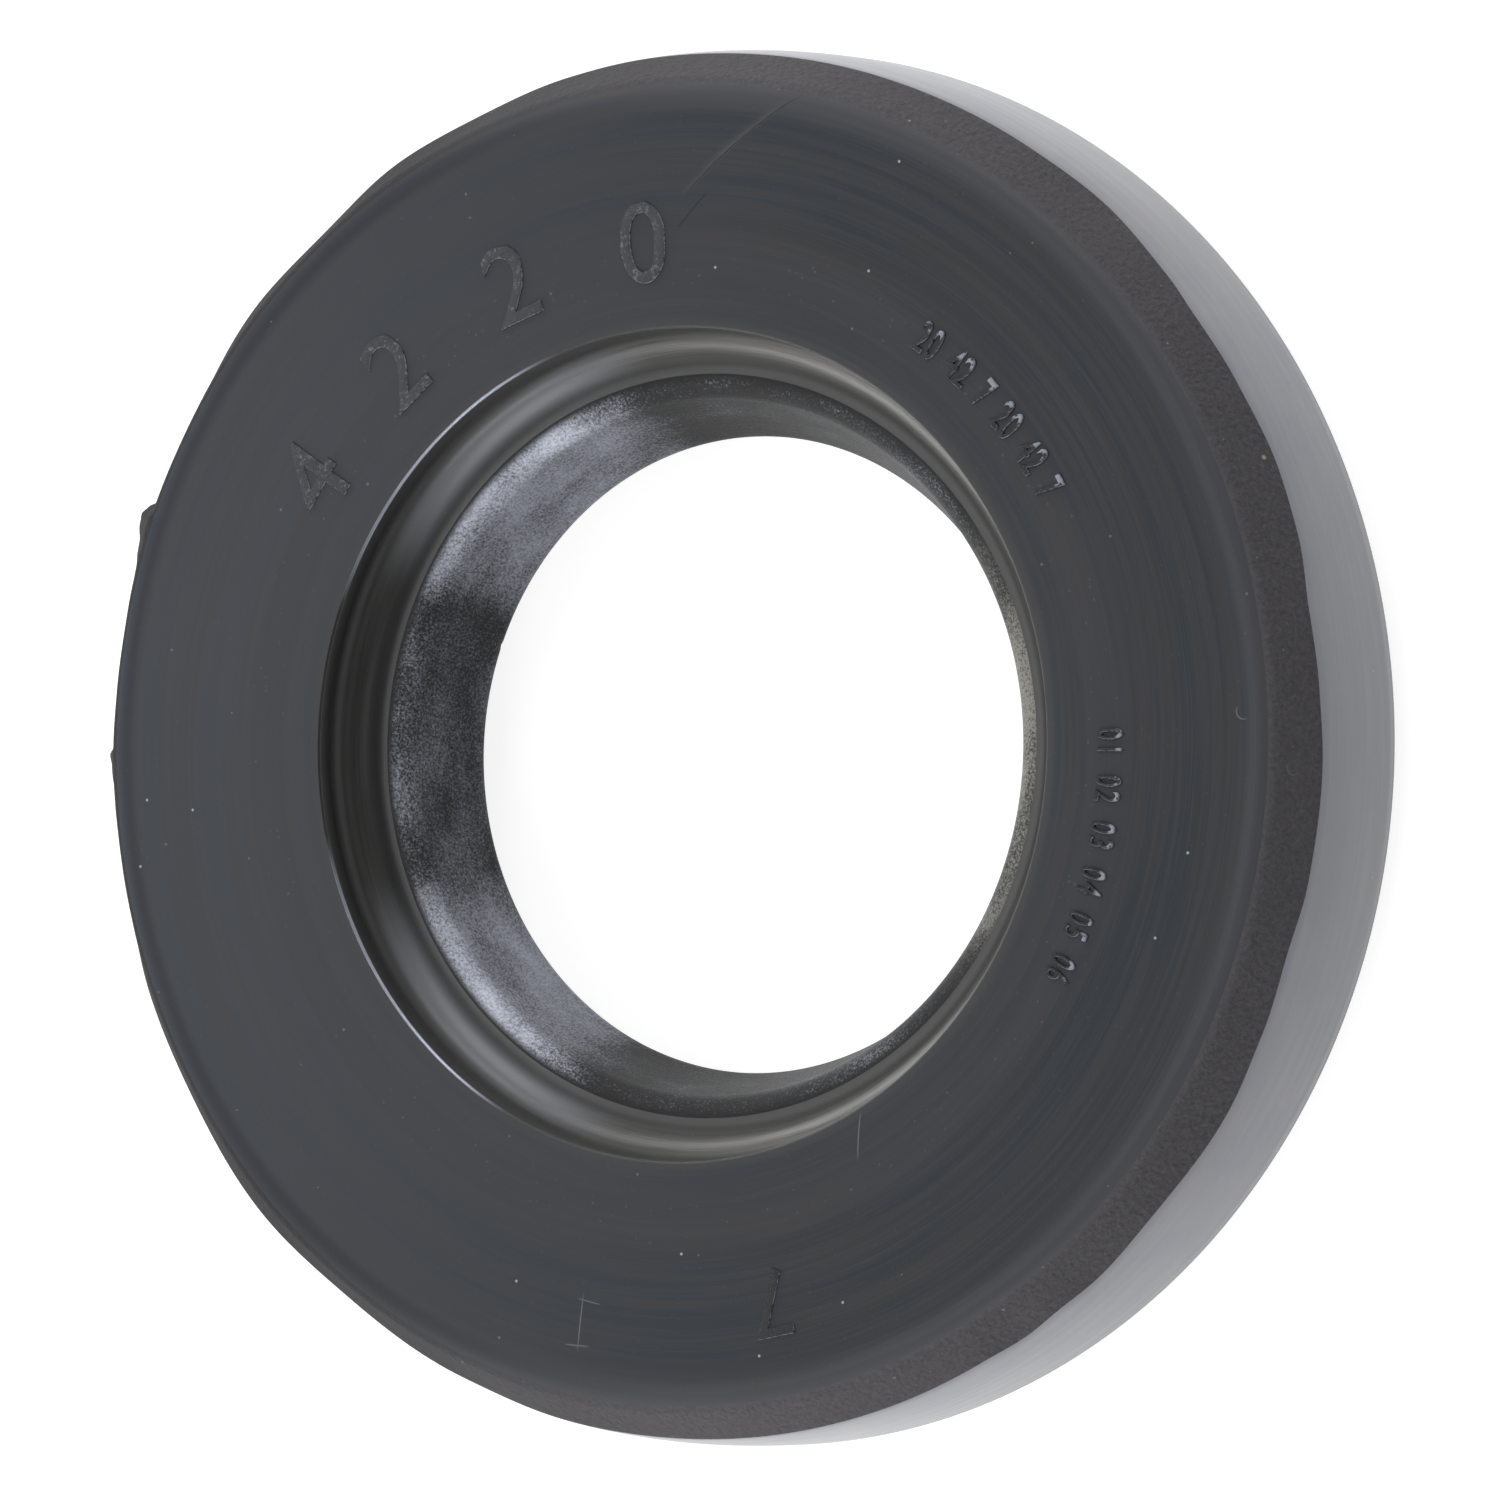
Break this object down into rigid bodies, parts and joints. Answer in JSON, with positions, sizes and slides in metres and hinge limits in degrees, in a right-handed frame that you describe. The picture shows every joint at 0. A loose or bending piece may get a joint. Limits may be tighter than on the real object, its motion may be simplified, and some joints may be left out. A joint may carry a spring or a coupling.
{
  "type": "rotary shaft seal",
  "caption": "Rubber-covered radial shaft seal with a single spring-loaded lip, flat front face, hollowed throat and open back hollow.",
  "frame": {"origin": "on the seal's axis, in the plane of the back rim that it lies on", "axes": "+Z along the axis towards the marked front face; the seal is round, so X and Y are free, and +X points to the viewer's right in the picture"},
  "size_m": [0.0422, 0.0422, 0.007],
  "materials": {
    "rubber": "matt moulded fluoroelastomer with a gloss throat",
    "ring_steel": "phosphated sheet steel",
    "spring_steel": "bright drawn spring wire"
  },
  "bodies": {
    "root": {"seal_body": "rubber", "stiffening_ring": "ring_steel", "garter_spring": "spring_steel"}
  },
  "joints": []
}
